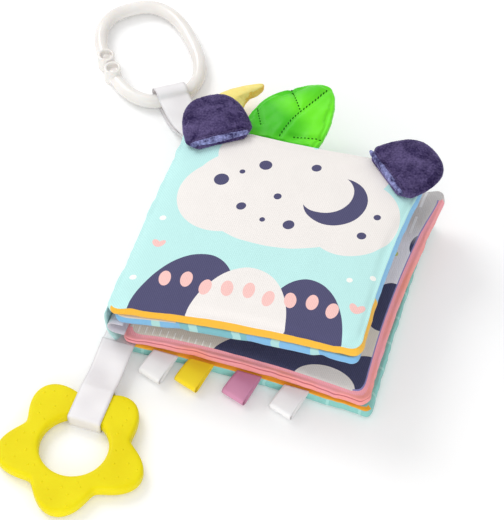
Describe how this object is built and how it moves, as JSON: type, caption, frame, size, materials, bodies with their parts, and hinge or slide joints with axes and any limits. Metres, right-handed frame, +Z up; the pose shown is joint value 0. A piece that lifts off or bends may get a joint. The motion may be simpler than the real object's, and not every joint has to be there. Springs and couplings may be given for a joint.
{
  "type": "crinkle cloth book",
  "caption": "Soft padded baby book with a printed cover, plush corner tabs, a cloth leaf and crescent, ribbon tags, a link ring and a lobed teether on a strap.",
  "frame": {"origin": "middle of the flat underside of the back cover, on the surface the book lies on", "axes": "+X from the spine to the fore-edge, +Y from the front edge (with the ribbon tags) to the back edge, +Z up"},
  "size_m": [0.2549, 0.3809, 0.0642],
  "materials": {
    "cover_print": "twill weave, printed mint",
    "mustard_cloth": "woven polyester",
    "beige_cloth": "woven polyester",
    "blue_print": "woven polyester, pale bars",
    "page_print": "woven polyester, printed",
    "pink_cloth": "woven polyester",
    "teal_cloth": "woven polyester",
    "spine_cloth": "woven polyester",
    "gutter_cloth": "woven polyester",
    "film": "thin clear film",
    "wadding": "polyester wadding",
    "plush": "short pile plush",
    "velour": "velour",
    "green_cloth": "satin cloth",
    "white_satin": "satin ribbon",
    "yellow_satin": "satin ribbon",
    "mauve_satin": "satin ribbon",
    "teether_rubber": "soft matte",
    "ring_plastic": "smooth semi-gloss"
  },
  "bodies": {
    "lower_page": {"lower_page_top_cloth": "page_print", "lower_page_lower_cloth": "pink_cloth", "lower_page_wadding": "wadding", "lower_page_crinkle_film": "film", "lower_spine_strip": "spine_cloth", "lower_gutter_fold": "gutter_cloth"},
    "back_cover": {"back_cover_top_cloth": "mustard_cloth", "back_cover_lower_cloth": "teal_cloth", "back_cover_wadding": "wadding", "back_cover_crinkle_film": "film"},
    "upper_page": {"upper_page_top_cloth": "beige_cloth", "upper_page_lower_cloth": "blue_print", "upper_page_wadding": "wadding", "upper_page_crinkle_film": "film", "upper_spine_strip": "spine_cloth", "upper_gutter_fold": "gutter_cloth"},
    "front_cover": {"front_cover_top_cloth": "cover_print", "front_cover_lower_cloth": "mustard_cloth", "front_cover_wadding": "wadding", "front_cover_crinkle_film": "film"},
    "left_ear": {"left_ear_front_plush": "plush", "left_ear_back_plush": "plush", "left_ear_filling": "wadding"},
    "right_ear": {"right_ear_front_plush": "plush", "right_ear_back_plush": "plush", "right_ear_filling": "wadding"},
    "cloth_leaf": {"cloth_leaf_front_cloth": "green_cloth", "cloth_leaf_back_cloth": "green_cloth", "cloth_leaf_filling": "wadding"},
    "crescent": {"crescent_front_cloth": "velour", "crescent_back_cloth": "velour", "crescent_filling": "wadding"},
    "ring_ribbon": {"ring_ribbon": "white_satin"},
    "link_ring": {"link_ring": "ring_plastic"},
    "strap": {"strap": "white_satin"},
    "teether": {"teether": "teether_rubber", "strap_loop": "white_satin"},
    "tag_1": {"tag_1": "white_satin"},
    "tag_2": {"tag_2": "yellow_satin"},
    "tag_3": {"tag_3": "mauve_satin"},
    "tag_4": {"tag_4": "white_satin"}
  },
  "joints": [
    {"name": "back_cover_hinge", "type": "hinge", "parent": "lower_page", "child": "back_cover", "pos_m": [-0.0849, 0, 0.00815], "axis": [0, -1, 0], "range_deg": [-178, 0]},
    {"name": "upper_page_hinge", "type": "hinge", "parent": "lower_page", "child": "upper_page", "pos_m": [-0.0849, 0, 0.0208], "axis": [0, -1, 0], "range_deg": [0, 158]},
    {"name": "front_cover_hinge", "type": "hinge", "parent": "upper_page", "child": "front_cover", "pos_m": [-0.08638, 0, 0.03336], "axis": [0, 1, 0], "range_deg": [-170, 0]},
    {"name": "left_ear_flap", "type": "hinge", "parent": "front_cover", "child": "left_ear", "pos_m": [-0.05894, 0.057, 0.04581], "axis": [0.8601, 0.5, 0.101], "range_deg": [0, 60]},
    {"name": "right_ear_flap", "type": "hinge", "parent": "front_cover", "child": "right_ear", "pos_m": [0.04536, 0.054, 0.05536], "axis": [0.7381, -0.6691, 0.0867], "range_deg": [0, 60]},
    {"name": "cloth_leaf_flap", "type": "hinge", "parent": "upper_page", "child": "cloth_leaf", "pos_m": [-0.02805, 0.0739, 0.03402], "axis": [0.9932, 0, 0.1167], "range_deg": [-35, 0]},
    {"name": "crescent_flap", "type": "hinge", "parent": "lower_page", "child": "crescent", "pos_m": [-0.0565, 0.0745, 0.0165], "axis": [1, 0, 0], "range_deg": [0, 35]},
    {"name": "ring_ribbon_flap", "type": "hinge", "parent": "lower_page", "child": "ring_ribbon", "pos_m": [-0.0763, 0.0753, 0.0128], "axis": [1, 0, 0], "range_deg": [0, 45]},
    {"name": "link_ring_swing", "type": "hinge", "parent": "ring_ribbon", "child": "link_ring", "pos_m": [-0.1113, 0.11417, 0.0053], "axis": [0.766, 0.6428, 0], "range_deg": [0, 90]},
    {"name": "strap_flap", "type": "hinge", "parent": "lower_page", "child": "strap", "pos_m": [-0.0773, -0.0753, 0.0106], "axis": [-1, 0, 0], "range_deg": [0, 80]},
    {"name": "teether_swing", "type": "hinge", "parent": "strap", "child": "teether", "pos_m": [-0.0773, -0.10913, 0.0098], "axis": [-1, 0, 0], "range_deg": [0, 110]},
    {"name": "tag_1_flap", "type": "hinge", "parent": "lower_page", "child": "tag_1", "pos_m": [-0.0485, -0.07374, 0.00895], "axis": [-1, 0, 0], "range_deg": [0, 60]},
    {"name": "tag_2_flap", "type": "hinge", "parent": "lower_page", "child": "tag_2", "pos_m": [-0.0265, -0.07266, 0.00895], "axis": [-1, 0, 0], "range_deg": [0, 60]},
    {"name": "tag_3_flap", "type": "hinge", "parent": "lower_page", "child": "tag_3", "pos_m": [0.0025, -0.07209, 0.00895], "axis": [-1, 0, 0], "range_deg": [0, 60]},
    {"name": "tag_4_flap", "type": "hinge", "parent": "lower_page", "child": "tag_4", "pos_m": [0.0315, -0.07285, 0.00895], "axis": [-1, 0, 0], "range_deg": [0, 60]}
  ]
}
